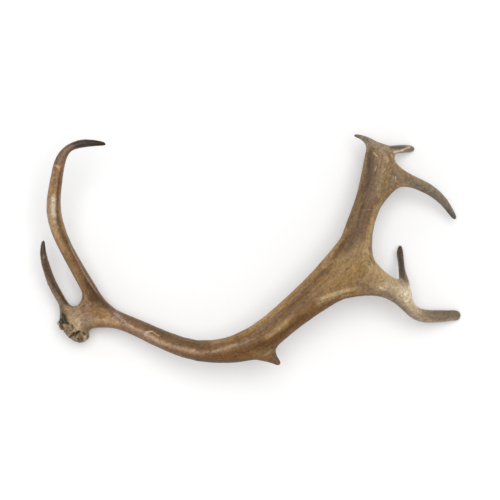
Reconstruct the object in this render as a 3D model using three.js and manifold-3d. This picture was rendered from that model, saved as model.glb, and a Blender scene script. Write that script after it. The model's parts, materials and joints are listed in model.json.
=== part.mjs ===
// Shed reindeer antler with a brow tine, a bez tine, a palm and two forked upper branches.
// It lies on its inner side, as found, with its outer side up.
// Millimetres, +Z up, floor at Z = 0, the long way of the antler along X.
import * as THREE from "three";
import { mergeVertices } from "three/addons/utils/BufferGeometryUtils.js";
import Module from "manifold-3d";

// Driving dimensions. The outline is drawn on a square grid, columns to the right and rows
// down, as it is seen from straight above. A low limb is seen a little smaller than a high
// one, so a grid place is spread by its height under the eye.
const GRID = 1.5; // one grid square, so this sets the size of the whole antler
const MID_COLUMN = 249.5;
const MID_ROW = 249;
const EYE_HEIGHT = 4000;
const MID_HEIGHT = 60;
const FORK_GAP = 0.3; // parting cut at each main fork
const REST_HEIGHT = 2.6; // whatever would stand lower is worn flat where the antler rests

const COLOURS = {
  main_beam: 0x86684a,
  brow_tine: 0x6e5842,
  bez_tine: 0x8a6d4a,
  upper_branch: 0x7c6142,
  curved_tine: 0x6f5e4a,
  lower_branch: 0x9b8156,
  inner_tine: 0x564c3e,
};

// Every station of a limb is [left column, left row, right column, right row, height of the
// middle, half thickness]. Left and right are the two edges as seen walking to the tip.
const BURR_CAP = [
  [68.5, 337.5, 77, 342, 28.5, 9],
  [62.3, 330, 85, 342.3, 28, 21],
];
const BEAM = [
  [59.3, 321.5, 87.8, 337.5, 27, 25.5],
  [60, 314, 90, 331.8, 27.5, 22.5],
  [60, 308.5, 92, 329.4, 27.5, 19.5],
  [65.5, 306.5, 94.5, 328.2, 27.5, 18],
  [72, 307.3, 97, 327.7, 28, 17.5],
  [80, 304.5, 100, 327.6, 29, 17.5],
  [88, 300, 104, 327.6, 30.5, 17.5],
  [98, 298, 108, 327.6, 32.5, 16.5],
  [108, 304, 113, 328, 35, 15.5],
  [117, 310.6, 118, 329, 38, 14.5],
  [128, 314.9, 126, 331.8, 42, 14],
  [142, 320.6, 139, 338, 47.5, 14],
  [170, 333, 167, 352.2, 59, 14.8],
  [198, 341.7, 197, 362.2, 70.3, 16],
  [225, 338.6, 229, 363.2, 79, 17],
  [237, 333.3, 243, 361.6, 82, 17],
  [247.5, 328.3, 255, 359.2, 84, 17],
  [257, 322.2, 265, 354.6, 86, 17],
  [266, 315.4, 275, 348, 87.5, 17],
  [285, 298.4, 297, 328.8, 89, 16.5],
  [307, 277.5, 321, 312.2, 88.5, 15.5],
  [316.5, 267, 333, 304.8, 88, 15],
];
const PALM = [
  [323.5, 258.8, 343, 298.5, 87, 14.5],
  [329.5, 252.3, 353, 289.5, 86, 14],
  [334.5, 246, 361.5, 280, 84.5, 13.5],
  [339.3, 240.4, 368, 269.5, 83, 13.5],
  [342.8, 233.6, 371.8, 256.5, 81, 13],
  [348.2, 218, 372.3, 232.5, 76, 13],
];
const UPPER_BRANCH = [
  [351.6, 209.2, 375.3, 220.8, 73, 13],
  [354.6, 201, 379.5, 209.5, 70, 12.5],
  [357.3, 192, 386, 199.5, 67.5, 12.5],
  [360, 180.5, 391, 187, 64, 12],
  [362.5, 168, 393, 172, 60.5, 11.3],
  [364.5, 157, 393.6, 158.5, 57.5, 10],
  [366, 150.5, 394, 149.5, 55, 9],
  [366.2, 147, 388, 145.4, 53, 7.5],
  [364.8, 143.3, 377, 142.2, 51, 6],
  [361.8, 140, 369, 137.3, 49, 4.6],
  [357.6, 138, 361.2, 134.8, 47, 3],
  [353.7, 136.5, 354.5, 133.7, 45, 1.8],
];
const BROW_TINE = [
  [58.6, 303.5, 68, 303, 30, 7.2],
  [55, 298, 64.3, 296.5, 33, 6.8],
  [47.2, 284.5, 56.2, 283, 39.5, 6.5],
  [41, 263.5, 48.9, 263, 48, 5.7],
  [39.8, 253.5, 46.4, 253.5, 50, 4.8],
  [40.4, 246, 45.1, 246, 51.5, 3.4],
  [42.1, 240.2, 44.9, 240.2, 52, 1.9],
];
const BEZ_TINE = [
  [83, 295.5, 101, 295, 40, 13.5],
  [80.8, 288.5, 96.3, 287.2, 46, 12.5],
  [75.2, 278.8, 90.2, 277.3, 53.5, 11.7],
  [61.9, 254.5, 76, 253.5, 69, 11],
  [51.3, 233.5, 66.2, 233, 80, 11.2],
  [45.4, 211, 60.2, 211, 89, 10.8],
  [48, 189, 61.2, 189, 96, 9.8],
  [52.4, 167, 64.1, 167.3, 101.5, 8.8],
  [55.8, 157, 66.6, 157.8, 103.5, 8],
  [62, 148.4, 70.6, 151.3, 105, 7.4],
  [71.5, 141.8, 76.5, 148.6, 105.5, 6.6],
  [84.5, 138.6, 86, 147, 105, 5.6],
  [101.5, 140.9, 100.5, 145.6, 101, 3.2],
  [106.4, 143.2, 105.6, 145.7, 99, 1.7],
];
const BACK_SPUR = [
  [279, 344.5, 260, 360.6, 86.5, 11],
  [275, 350, 268, 362, 86, 6.2],
  [277.2, 357, 273.8, 364, 85.5, 3.4],
  [281.4, 362.6, 279, 366, 85, 1.8],
];
const LOWER_BRANCH = [
  [377.2, 264.2, 366, 295.1, 80, 14],
  [384, 271.2, 378, 295.8, 76, 13.5],
  [391.4, 276.8, 387.2, 298.6, 72.5, 13.5],
  [399.3, 280.4, 396.1, 303.9, 69, 13],
  [408.9, 285.5, 402.3, 309.5, 64.5, 12.5],
  [409, 297, 408.2, 314.3, 59.5, 11.5],
  [413.6, 306.2, 413.9, 319.5, 52, 10.2],
  [425, 310.3, 424, 323, 40, 9.2],
  [440, 309.8, 439.7, 322.6, 24, 8.3],
  [460.8, 311.3, 460.5, 319.5, 3, 5.4],
];
const CURVED_TINE = [
  [397.3, 165.2, 396.6, 188, 60, 10.2],
  [407, 172.3, 403.5, 186.4, 57.5, 9.6],
  [416.4, 177.2, 412.6, 187.9, 53.5, 8.4],
  [427, 182, 422.6, 192.2, 48.5, 7.4],
  [437.2, 188.4, 431.1, 196.5, 42.5, 6.6],
  [447.8, 199.6, 441.2, 204.6, 34, 5.4],
  [454.6, 211.8, 449.7, 215.6, 25.5, 3.7],
  [457, 218.4, 453.9, 219.8, 21, 2.1],
];
const SHORT_TINE = [
  [394, 145.3, 394, 154, 42, 6.4],
  [401, 145, 401, 153.2, 28, 5.6],
  [407.5, 144.9, 407.5, 152.6, 13, 4.8],
  [413.8, 146.4, 413.8, 151.9, 1.5, 3.8],
];
const INNER_TINE = [
  [399.5, 277.5, 408.2, 279, 52, 6.4],
  [398.6, 270.5, 405.2, 271.2, 41, 5.2],
  [398, 261.5, 404.1, 262, 29.5, 4.4],
  [396.4, 252.5, 403.2, 253, 19.5, 3.8],
  [398.4, 245.2, 402.1, 245.4, 13, 2.5],
];

// Where each tine leaves its stem: from one stem station to another, and from one side of
// the ring of points to another. Side 0 is the left edge and a quarter turn on is the top.
const STEM_SIDES = 12;
const FORKS = {
  brow: { from: 2, to: 4, low: -1, high: 1 },
  bez: { from: 5, to: 8, low: -1, high: 1 },
  spur: { from: 16, to: 18, low: 5, high: 7 },
  lower: { from: 22, to: 26, low: 5, high: 7 },
  curved: { from: 30, to: 33, low: 5, high: 7 },
  short: { from: 33, to: 35, low: 6, high: 8 },
  inner: { from: 3, to: 5, low: -2, high: 0 },
};

// Relief of the beam: a blunt crest along the top, then a shallow groove along the upper
// edge of the palm. Each is a share of the half thickness at one side of the ring.
const CREST = { from: 9, to: 18, side: 3, share: 0.09 };
const GROOVE = { from: 17, to: 28, side: 2, share: -0.12 };
const RIM = { from: 17, to: 28, side: 1, share: 0.12 };

// Rough crown at the cast end: knobs round the rim and on the end, and open pits between.
const SEED = 7;
const RIM_KNOBS = 14;
const END_KNOBS = 5;
const PITS = 8;
const KNOB_MIN = 4.6;
const KNOB_MAX = 7;
const PIT_MIN = 2.2;
const PIT_MAX = 4;

const UP = new THREE.Vector3(0, 0, 1);

function at(column, row, height) {
  const spread = (GRID * (EYE_HEIGHT - height)) / (EYE_HEIGHT - MID_HEIGHT);
  return new THREE.Vector3((column - MID_COLUMN) * spread, (MID_ROW - row) * spread, height);
}

// Middle, half width and left-hand direction of every station, with the direction of travel.
function layOut(stations) {
  const places = stations.map(([leftX, leftY, rightX, rightY, height, half]) => {
    const left = at(leftX, leftY, height);
    const right = at(rightX, rightY, height);
    const across = left.clone().sub(right);
    return {
      middle: left.clone().add(right).multiplyScalar(0.5),
      width: across.length() / 2,
      half,
      across: across.normalize(),
    };
  });
  places.forEach((place, i) => {
    const before = places[Math.max(i - 1, 0)].middle;
    const after = places[Math.min(i + 1, places.length - 1)].middle;
    place.travel = after.clone().sub(before).normalize();
    place.top = place.travel.clone().cross(place.across).normalize();
  });
  return places;
}

const cage = { points: [], faces: [] };

// A ring of points round a limb, from its left edge over the top to its right edge and back
// underneath. Smoothing draws a ring in, so it is drawn that much wider here.
function addRing(place, sides, shares = []) {
  const spare = 3 / (2 + Math.cos((2 * Math.PI) / sides));
  const ring = [];
  for (let k = 0; k < sides; k += 1) {
    const angle = (2 * Math.PI * k) / sides;
    const lift = 1 + (shares[k] ?? 0);
    const point = place.middle.clone();
    point.addScaledVector(place.across, Math.cos(angle) * place.width * spare);
    point.addScaledVector(place.top, Math.sin(angle) * place.half * spare * lift);
    ring.push(cage.points.length);
    cage.points.push(point);
  }
  return ring;
}

function bridge(ring, next, isOpen = () => false) {
  ring.forEach((start, k) => {
    const k2 = (k + 1) % ring.length;
    if (!isOpen(k)) {
      cage.faces.push([start, ring[k2], next[k2], next[k]]);
    }
  });
}

// The edge of the hole that a fork leaves in its stem, in turning order as seen from the
// tine that grows out of it.
function holeEdge(rings, fork) {
  const sides = rings[0].length;
  const pick = (i, j) => rings[i][((j % sides) + sides) % sides];
  const edge = [];
  for (let j = fork.low; j < fork.high; j += 1) {
    edge.push(pick(fork.from, j));
  }
  for (let i = fork.from; i < fork.to; i += 1) {
    edge.push(pick(i, fork.high));
  }
  for (let j = fork.high; j > fork.low; j -= 1) {
    edge.push(pick(fork.to, j));
  }
  for (let i = fork.to; i > fork.from; i -= 1) {
    edge.push(pick(i, fork.low));
  }
  return edge;
}

function ringsAlong(places, sides, shareOf = () => []) {
  return places.map((place, i) => addRing(place, sides, shareOf(i)));
}

function joinRings(rings, forks) {
  const sides = rings[0].length;
  for (let i = 0; i + 1 < rings.length; i += 1) {
    const isOpen = (k) =>
      forks.some((fork) => {
        const inRun = i >= fork.from && i < fork.to;
        const step = (((k - fork.low) % sides) + sides) % sides;
        return inRun && step < fork.high - fork.low;
      });
    bridge(rings[i], rings[i + 1], isOpen);
  }
}

// A limb that grows out of a hole: its first ring is turned to lie nearest to the hole.
function grow(edge, places, forks = []) {
  const sides = edge.length;
  const rings = ringsAlong(places, sides);
  const distance = (turn) =>
    edge.reduce((sum, point, k) => {
      const mate = cage.points[rings[0][(k + turn) % sides]];
      return sum + cage.points[point].distanceToSquared(mate);
    }, 0);
  let best = 0;
  for (let turn = 1; turn < sides; turn += 1) {
    if (distance(turn) < distance(best)) {
      best = turn;
    }
  }
  bridge(edge, edge.map((_, k) => rings[0][(k + best) % sides]));
  joinRings(rings, forks);
  cage.faces.push([...rings[rings.length - 1]]);
  return rings;
}

function reliefAt(i) {
  const shares = [];
  [CREST, GROOVE, RIM].forEach(({ from, to, side, share }) => {
    if (i >= from && i <= to) {
      const along = (i - from) / (to - from);
      shares[side] = (shares[side] ?? 0) + share * Math.sin(Math.PI * along);
    }
  });
  return shares;
}

function buildCage() {
  const stem = layOut([...BURR_CAP, ...BEAM, ...PALM, ...UPPER_BRANCH]);
  const shift = BURR_CAP.length;
  const rings = ringsAlong(stem, STEM_SIDES, (i) => reliefAt(i - shift));
  const onStem = ["brow", "bez", "spur", "lower", "curved", "short"];
  const moved = Object.fromEntries(
    onStem.map((name) => {
      const fork = FORKS[name];
      return [name, { ...fork, from: fork.from + shift, to: fork.to + shift }];
    }),
  );
  joinRings(rings, Object.values(moved));
  cage.faces.push([...rings[0]].reverse());
  cage.faces.push([...rings[rings.length - 1]]);
  grow(holeEdge(rings, moved.brow), layOut(BROW_TINE));
  grow(holeEdge(rings, moved.bez), layOut(BEZ_TINE));
  grow(holeEdge(rings, moved.spur), layOut(BACK_SPUR));
  grow(holeEdge(rings, moved.curved), layOut(CURVED_TINE));
  grow(holeEdge(rings, moved.short), layOut(SHORT_TINE));
  const lower = grow(holeEdge(rings, moved.lower), layOut(LOWER_BRANCH), [FORKS.inner]);
  grow(holeEdge(lower, FORKS.inner), layOut(INNER_TINE));
}

// One round of smoothing: every face is parted into four-sided faces round its middle, and
// the points are drawn together.
function smooth(points, faces) {
  const edges = new Map();
  const edgeKey = (a, b) => (a < b ? `${a} ${b}` : `${b} ${a}`);
  const middles = faces.map((face) => {
    const sum = new THREE.Vector3();
    face.forEach((corner) => sum.add(points[corner]));
    return sum.divideScalar(face.length);
  });
  faces.forEach((face, f) => {
    face.forEach((a, k) => {
      const b = face[(k + 1) % face.length];
      const key = edgeKey(a, b);
      if (!edges.has(key)) {
        edges.set(key, { ends: [a, b], faces: [] });
      }
      edges.get(key).faces.push(f);
    });
  });
  const around = points.map(() => ({
    faceSum: new THREE.Vector3(),
    faceCount: 0,
    edgeSum: new THREE.Vector3(),
    edgeCount: 0,
  }));
  faces.forEach((face, f) => {
    face.forEach((corner) => {
      around[corner].faceSum.add(middles[f]);
      around[corner].faceCount += 1;
    });
  });
  const result = points.map(() => new THREE.Vector3());
  const faceStart = result.length;
  result.push(...middles);
  edges.forEach((edge) => {
    const [a, b] = edge.ends;
    const half = points[a].clone().add(points[b]).multiplyScalar(0.5);
    edge.ends.forEach((end) => {
      around[end].edgeSum.add(half);
      around[end].edgeCount += 1;
    });
    const place = half.clone();
    edge.faces.forEach((f) => place.addScaledVector(middles[f], 0.5));
    edge.index = result.length;
    result.push(place.multiplyScalar(0.5));
  });
  points.forEach((point, i) => {
    const near = around[i];
    result[i]
      .add(near.faceSum.divideScalar(near.faceCount))
      .addScaledVector(near.edgeSum, 2 / near.edgeCount)
      .addScaledVector(point, near.edgeCount - 3)
      .divideScalar(near.edgeCount);
  });
  const quads = [];
  faces.forEach((face, f) => {
    face.forEach((corner, k) => {
      const next = face[(k + 1) % face.length];
      const last = face[(k + face.length - 1) % face.length];
      const ahead = edges.get(edgeKey(corner, next)).index;
      const behind = edges.get(edgeKey(last, corner)).index;
      quads.push([corner, ahead, faceStart + f, behind]);
    });
  });
  return { points: result, faces: quads };
}

// Each four-sided face is parted along its shorter diagonal.
function toGeometry({ points, faces }) {
  const index = [];
  faces.forEach(([a, b, c, d]) => {
    if (points[a].distanceTo(points[c]) <= points[b].distanceTo(points[d])) {
      index.push(a, b, c, a, c, d);
    } else {
      index.push(a, b, d, b, c, d);
    }
  });
  const geometry = new THREE.BufferGeometry();
  geometry.setAttribute(
    "position",
    new THREE.Float32BufferAttribute(points.flatMap((p) => p.toArray()), 3),
  );
  geometry.setIndex(index);
  return geometry;
}

const wasm = await Module();
wasm.setup();

function toSolid(geometry) {
  const bare = new THREE.BufferGeometry();
  bare.setAttribute("position", geometry.getAttribute("position").clone());
  if (geometry.index) {
    bare.setIndex(geometry.index.clone());
  }
  const merged = mergeVertices(bare, 1e-4);
  const mesh = new wasm.Mesh({
    numProp: 3,
    vertProperties: new Float32Array(merged.getAttribute("position").array),
    triVerts: new Uint32Array(merged.index.array),
  });
  return new wasm.Manifold(mesh);
}

function fromSolid(solid) {
  const mesh = solid.getMesh();
  const geometry = new THREE.BufferGeometry();
  geometry.setAttribute("position", new THREE.Float32BufferAttribute(mesh.vertProperties, 3));
  geometry.setIndex([...mesh.triVerts]);
  return geometry;
}

let randomState = SEED;
function random(low, high) {
  randomState = (randomState * 1664525 + 1013904223) % 4294967296;
  return low + ((high - low) * randomState) / 4294967296;
}

// An uneven stone-like lump.
function lump(place, size) {
  const geometry = new THREE.IcosahedronGeometry(1, 0);
  geometry.rotateX(random(0, Math.PI));
  geometry.rotateZ(random(0, Math.PI));
  geometry.scale(size * random(0.8, 1.15), size * random(0.8, 1.15), size * random(0.8, 1.15));
  geometry.translate(place.x, place.y, place.z);
  return toSolid(geometry);
}

// A place on the crown: by angle round its rim, share of the way out from its middle, and
// millimetres toward the cast end.
function crownPlace(rim, angle, share, toEnd) {
  const place = rim.middle.clone();
  place.addScaledVector(rim.across, Math.cos(angle) * rim.width * share);
  place.addScaledVector(rim.top, Math.sin(angle) * rim.half * share);
  return place.addScaledVector(rim.travel, -toEnd);
}

function roughenCrown(body) {
  const rim = layOut([...BURR_CAP, ...BEAM])[BURR_CAP.length];
  const knobs = [];
  for (let k = 0; k < RIM_KNOBS; k += 1) {
    const angle = ((k + random(-0.3, 0.3)) / RIM_KNOBS) * 2 * Math.PI;
    const size = random(KNOB_MIN, KNOB_MAX);
    const place = crownPlace(rim, angle, 0.98 - size * 0.02, random(-4, 5));
    knobs.push(lump(place, size));
  }
  for (let k = 0; k < END_KNOBS; k += 1) {
    const share = Math.sqrt((k + 0.5) / END_KNOBS) * 0.72;
    const angle = k * 2.4 + random(-0.3, 0.3);
    const toEnd = 11 - 8 * share * share;
    knobs.push(lump(crownPlace(rim, angle, share, toEnd), random(KNOB_MIN, KNOB_MAX) * 0.85));
  }
  const pits = [];
  for (let k = 0; k < PITS; k += 1) {
    const angle = ((k + random(0.2, 0.8)) / PITS) * 2 * Math.PI;
    const place = crownPlace(rim, angle, random(0.98, 1.08), random(-4, 7));
    pits.push(lump(place, random(PIT_MIN, PIT_MAX)));
  }
  return body.add(wasm.Manifold.union(knobs)).subtract(wasm.Manifold.union(pits));
}

// A thin parting cut across one limb, square to its travel.
function partingCut(place, reach) {
  const slab = new THREE.BoxGeometry(reach * 2, reach * 2, FORK_GAP);
  slab.applyQuaternion(new THREE.Quaternion().setFromUnitVectors(UP, place.travel));
  slab.translate(place.middle.x, place.middle.y, place.middle.z);
  return toSolid(slab);
}

const FLOOR_SIZE = 1200;
const FLOOR_DEPTH = 100;
function wearFlat(body) {
  const block = new THREE.BoxGeometry(FLOOR_SIZE, FLOOR_SIZE, FLOOR_DEPTH);
  block.translate(0, 0, REST_HEIGHT - FLOOR_DEPTH / 2);
  return body.subtract(toSolid(block));
}

// The station of each parted limb where its cut lies, and how far the cut reaches out.
const CUTS = [
  { stations: BROW_TINE, index: 0, reach: 12 },
  { stations: BEZ_TINE, index: 1, reach: 20 },
  { stations: [...PALM, ...UPPER_BRANCH], index: 5, reach: 30 },
  { stations: CURVED_TINE, index: 1, reach: 17 },
  { stations: LOWER_BRANCH, index: 1, reach: 26 },
  { stations: INNER_TINE, index: 0, reach: 10.5 },
];

// A place inside each piece, by which it is known after the cuts.
const MARKERS = {
  main_beam: at(200, 350, 70),
  brow_tine: at(45, 267, 46),
  bez_tine: at(54, 200, 93),
  upper_branch: at(376, 180, 64),
  curved_tine: at(438, 196, 41),
  lower_branch: at(404, 300, 63),
  inner_tine: at(401, 262, 29),
};

function nearestTo(marker, geometries) {
  const gap = (geometry) => {
    const position = geometry.getAttribute("position");
    const point = new THREE.Vector3();
    let least = Infinity;
    for (let i = 0; i < position.count; i += 1) {
      point.fromBufferAttribute(position, i);
      least = Math.min(least, point.distanceTo(marker));
    }
    return least;
  };
  return geometries.reduce((best, one) => (gap(one) < gap(best) ? one : best));
}

buildCage();
let antlerSolid = toSolid(toGeometry(smooth(cage.points, cage.faces)));
antlerSolid = wearFlat(roughenCrown(antlerSolid));
const cuts = CUTS.map(({ stations, index, reach }) => partingCut(layOut(stations)[index], reach));
const pieces = antlerSolid.subtract(wasm.Manifold.union(cuts)).decompose().map(fromSolid);

const bounds = new THREE.Box3();
pieces.forEach((piece) => {
  piece.computeBoundingBox();
  bounds.union(piece.boundingBox);
});
const centre = bounds.getCenter(new THREE.Vector3());

const antler = new THREE.Group();
antler.name = "reindeer_antler";
Object.entries(MARKERS).forEach(([name, marker]) => {
  const material = new THREE.MeshStandardMaterial({
    color: COLOURS[name],
    roughness: 0.62,
    metalness: 0,
  });
  const mesh = new THREE.Mesh(nearestTo(marker, pieces), material);
  mesh.name = name;
  mesh.position.set(-centre.x, -centre.y, -bounds.min.z);
  antler.add(mesh);
});

export default antler;
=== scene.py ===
import json
import math

import bmesh
import bpy
import numpy as np
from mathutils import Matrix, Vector

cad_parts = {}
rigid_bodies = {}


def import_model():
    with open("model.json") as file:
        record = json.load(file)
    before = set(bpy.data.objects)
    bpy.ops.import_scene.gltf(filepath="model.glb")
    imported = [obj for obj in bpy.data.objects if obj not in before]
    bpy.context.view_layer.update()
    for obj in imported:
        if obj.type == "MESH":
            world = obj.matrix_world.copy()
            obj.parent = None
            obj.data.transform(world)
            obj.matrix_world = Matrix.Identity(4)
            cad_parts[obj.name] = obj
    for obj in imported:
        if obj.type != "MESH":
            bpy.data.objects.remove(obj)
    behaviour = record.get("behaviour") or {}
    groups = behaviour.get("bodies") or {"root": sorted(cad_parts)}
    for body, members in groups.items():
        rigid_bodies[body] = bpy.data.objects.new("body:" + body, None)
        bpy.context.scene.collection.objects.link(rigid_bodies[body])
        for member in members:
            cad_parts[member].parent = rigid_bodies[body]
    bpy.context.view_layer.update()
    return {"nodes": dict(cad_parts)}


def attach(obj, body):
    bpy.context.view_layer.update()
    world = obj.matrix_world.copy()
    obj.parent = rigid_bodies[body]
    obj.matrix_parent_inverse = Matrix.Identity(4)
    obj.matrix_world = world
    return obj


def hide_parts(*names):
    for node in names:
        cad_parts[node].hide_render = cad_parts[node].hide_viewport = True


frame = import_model()

# Places are given on the drawing grid of the solids: a column and a row as seen from straight
# above, and a height in mm. The solids are shifted so that their box is centred.
GRID = 1.5
MID_COLUMN = 249.5
MID_ROW = 249.0
EYE_HEIGHT = 4000.0
MID_HEIGHT = 60.0
SHIFT = np.array([-3.08, 0.22, -2.60])
VOXEL = 0.00106
MM = 1000
# The skin stays inside the box of the solids, in mm.
RIGHT_LIMIT = 318.1
TOP_LIMIT = 109.7
SKIN_ROUNDS = 14
# Faces this near to a fork's plane, in metres, are cut by it.
CUT_SLAB = 0.003
# Places of strokes were read at the middles of picture squares.
HALF_SQUARE = 0.5
WASH_SPREAD = 1.15


def spot(column, row, height):
    """A drawing place in mm, in the frame of the solids."""
    spread = GRID * (EYE_HEIGHT - height) / (EYE_HEIGHT - MID_HEIGHT)
    return np.array([(column - MID_COLUMN) * spread, (MID_ROW - row) * spread, height]) + SHIFT


def to_grid(points):
    """Columns and rows at which points in mm are seen from above."""
    p = points - SHIFT
    spread = GRID * (EYE_HEIGHT - p[:, 2]) / (EYE_HEIGHT - MID_HEIGHT)
    return np.stack([MID_COLUMN + p[:, 0] / spread, MID_ROW - p[:, 1] / spread], 1)


# == Noise ==

RNG = np.random.default_rng(11)
ORDER = np.tile(RNG.permutation(256), 3)
SLOPES = RNG.normal(size=(256, 3))
SLOPES /= np.linalg.norm(SLOPES, axis=1)[:, None]


def noise(p):
    """Smooth noise from about -1 to 1."""
    cell = np.floor(p).astype(int)
    f = p - cell
    w = f * f * f * (f * (f * 6 - 15) + 10)
    total = np.zeros(len(p))
    for corner in np.ndindex(2, 2, 2):
        c = (cell + corner) & 255
        key = ORDER[ORDER[ORDER[c[:, 0]] + c[:, 1]] + c[:, 2]]
        weight = np.where(corner, w, 1 - w).prod(1)
        total += weight * (SLOPES[key] * (f - corner)).sum(1)
    return total * 1.7


def cells(p):
    """Distance to the nearest of scattered points, one to a cell, and that point's own number."""
    cell = np.floor(p).astype(int)
    least = np.full(len(p), 9.0)
    owner = np.zeros(len(p))
    for corner in np.ndindex(3, 3, 3):
        c = cell + corner - 1
        h = c & 255
        key = ORDER[ORDER[ORDER[h[:, 0]] + h[:, 1]] + h[:, 2]]
        place = c + 0.5 + SLOPES[key] * 0.45
        d = np.linalg.norm(place - p, axis=1)
        nearer = d < least
        least[nearer] = d[nearer]
        owner[nearer] = key[nearer] / 255.0
    return least, owner


def step(low, high, x):
    """A smooth rise from 0 at low to 1 at high."""
    t = np.clip((x - low) / (high - low), 0, 1)
    return t * t * (3 - 2 * t)


# == Limbs ==

# Middle lines: column, row, height of the middle, and radius across in mm.
LIMBS = {
    "beam": [
        (71, 333, 28, 24), (76, 325, 28, 22), (84, 317, 28, 18), (96, 314, 31, 17),
        (110, 317, 35, 15), (127, 323, 42, 14), (154, 336, 53, 15), (183, 347, 65, 16),
        (212, 352, 75, 18), (240, 347, 82, 22), (266, 332, 87, 25), (291, 314, 89, 26),
        (314, 295, 88, 28), (340, 272, 86, 34), (356, 250, 82, 26), (360, 225, 76, 20),
        (368, 204, 70, 22), (375, 183, 64, 24), (379, 160, 58, 22), (375, 144, 52, 12),
        (364, 138.5, 48, 5), (355.5, 135.5, 45, 2),
    ],
    "brow": [
        (70, 314, 28, 12), (63, 303, 30, 8), (55, 289, 37, 7), (47, 271, 45, 6),
        (44, 254, 50, 4.5), (44, 240, 52, 2),
    ],
    "bez": [
        (97, 308, 33, 14), (92, 295, 40, 13.5), (84, 280, 52, 12), (70, 254, 69, 11),
        (60, 233, 80, 11), (54, 211, 89, 10.5), (55, 189, 96, 9.5), (59, 165, 102, 9),
        (66, 150, 105, 8), (75, 144.5, 105.5, 7), (90, 142.5, 103.5, 5), (106.5, 144.5, 99, 2),
    ],
    "spur": [(262, 344, 86, 12), (272, 356, 86, 6), (279, 364, 85, 2)],
    "lower": [
        (345, 281, 86, 26), (371, 280, 80, 22), (390, 287, 72, 17), (402, 296, 66, 14),
        (411, 309, 56, 12), (425, 315.7, 40, 9.2), (440, 316, 24, 9), (458, 315.5, 3, 6),
    ],
    "curved": [
        (385, 178, 61, 20), (400, 177, 59, 12), (414, 183, 53, 8.5), (433, 192.5, 43, 6.5),
        (448, 207, 31, 4.8), (455.5, 219, 21, 2),
    ],
    "short": [(390, 150, 52, 7), (401, 149, 28, 6), (412.5, 149.5, 1.5, 4)],
    "inner": [(407, 287, 62, 9), (404, 278, 52, 7), (401.5, 262, 29, 4.5), (400.5, 246, 13, 2)],
}


def along_limb(points, name):
    """For each point: reach in limb radii, mm along the limb, and angle round it as x and y."""
    stations = np.array([[*spot(c, r, h), radius] for c, r, h, radius in LIMBS[name]])
    best = np.full(len(points), 1e9)
    length = np.zeros(len(points))
    side = np.zeros((len(points), 2))
    run = 0.0
    for a, b in zip(stations[:-1], stations[1:]):
        line = b[:3] - a[:3]
        size = np.linalg.norm(line)
        travel = line / size
        across = np.cross([0, 0, 1.0], travel)
        across /= np.linalg.norm(across)
        top = np.cross(travel, across)
        t = np.clip((points - a[:3]) @ travel / size, 0, 1)
        off = points - a[:3] - t[:, None] * line
        radius = a[3] + t * (b[3] - a[3])
        reach = np.linalg.norm(off, axis=1) / radius
        nearer = reach < best
        best[nearer] = reach[nearer]
        length[nearer] = run + t[nearer] * size
        around = np.stack([off @ across, off @ top], 1)
        around /= np.linalg.norm(around, axis=1)[:, None] + 1e-9
        side[nearer] = around[nearer]
        run += size
    return best, length, side, run


# == The fine skin ==


def whole_body():
    """One fine skin over all the solids, with the parting cuts closed."""
    bm = bmesh.new()
    for name in sorted(frame["nodes"]):
        bm.from_mesh(frame["nodes"][name].data)
    bmesh.ops.remove_doubles(bm, verts=bm.verts, dist=1e-6)
    mesh = bpy.data.meshes.new("whole")
    bm.to_mesh(mesh)
    bm.free()
    body = bpy.data.objects.new("whole", mesh)
    bpy.context.scene.collection.objects.link(body)
    remesh = body.modifiers.new("skin", "REMESH")
    remesh.mode = "VOXEL"
    remesh.voxel_size = VOXEL
    graph = bpy.context.evaluated_depsgraph_get()
    fine = bpy.data.meshes.new_from_object(body.evaluated_get(graph))
    bpy.data.objects.remove(body)
    return fine


def links_of(mesh):
    """The two vertices of each edge."""
    edges = np.empty(len(mesh.edges) * 2, int)
    mesh.edges.foreach_get("vertices", edges)
    return edges.reshape(-1, 2)


def neighbour_mean(values, edges):
    """Mean of the values at the vertices that an edge leads to."""
    count = np.bincount(edges.ravel(), minlength=len(values)).astype(float)
    total = np.empty_like(values)
    for k in range(values.shape[1]):
        total[:, k] = np.bincount(edges[:, 0], values[edges[:, 1], k], len(values))
        total[:, k] += np.bincount(edges[:, 1], values[edges[:, 0], k], len(values))
    return total / np.maximum(count, 1)[:, None]


def smoothed(points, edges, rounds, keep=None):
    """Evens out the facets without drawing the body in: each inward round has an outward one."""
    keep = 1.0 if keep is None else keep[:, None]
    for _ in range(rounds):
        points = points + 0.55 * keep * (neighbour_mean(points, edges) - points)
        points = points - 0.57 * keep * (neighbour_mean(points, edges) - points)
    return points


def normals_of(mesh):
    """Vertex normals as rows."""
    normals = np.empty(len(mesh.vertices) * 3, np.float32)
    mesh.vertex_normals.foreach_get("vector", normals)
    return normals.reshape(-1, 3).astype(float)


fine = whole_body()
points = np.empty(len(fine.vertices) * 3, np.float32)
fine.vertices.foreach_get("co", points)
points = points.reshape(-1, 3).astype(float) * MM
edges = links_of(fine)

crown_middle = spot(73.5, 329.5, 28)
crown_axis = np.array([-0.54, -0.84, 0.0])
crown_axis /= np.linalg.norm(crown_axis)
to_end = (points - crown_middle) @ crown_axis
crown = step(-9, 1, to_end)
points = smoothed(points, edges, SKIN_ROUNDS, 1 - 0.75 * crown)

# The fold where the long tine leaves the shaft is evened out.
FOLD_PLACE = spot(96, 302, 42)
FOLD_RADIUS = 18
FOLD_ROUNDS = 90
fold = np.exp(-(np.linalg.norm(points - FOLD_PLACE, axis=1) / FOLD_RADIUS) ** 2)[:, None]
for _ in range(FOLD_ROUNDS):
    points = points + 0.5 * fold * (neighbour_mean(points, edges) - points)
floor_contact = step(0.2, 1.4, points[:, 2])
fine.vertices.foreach_set("co", (points / MM).astype(np.float32).ravel())
fine.update()
normals = normals_of(fine)

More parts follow.
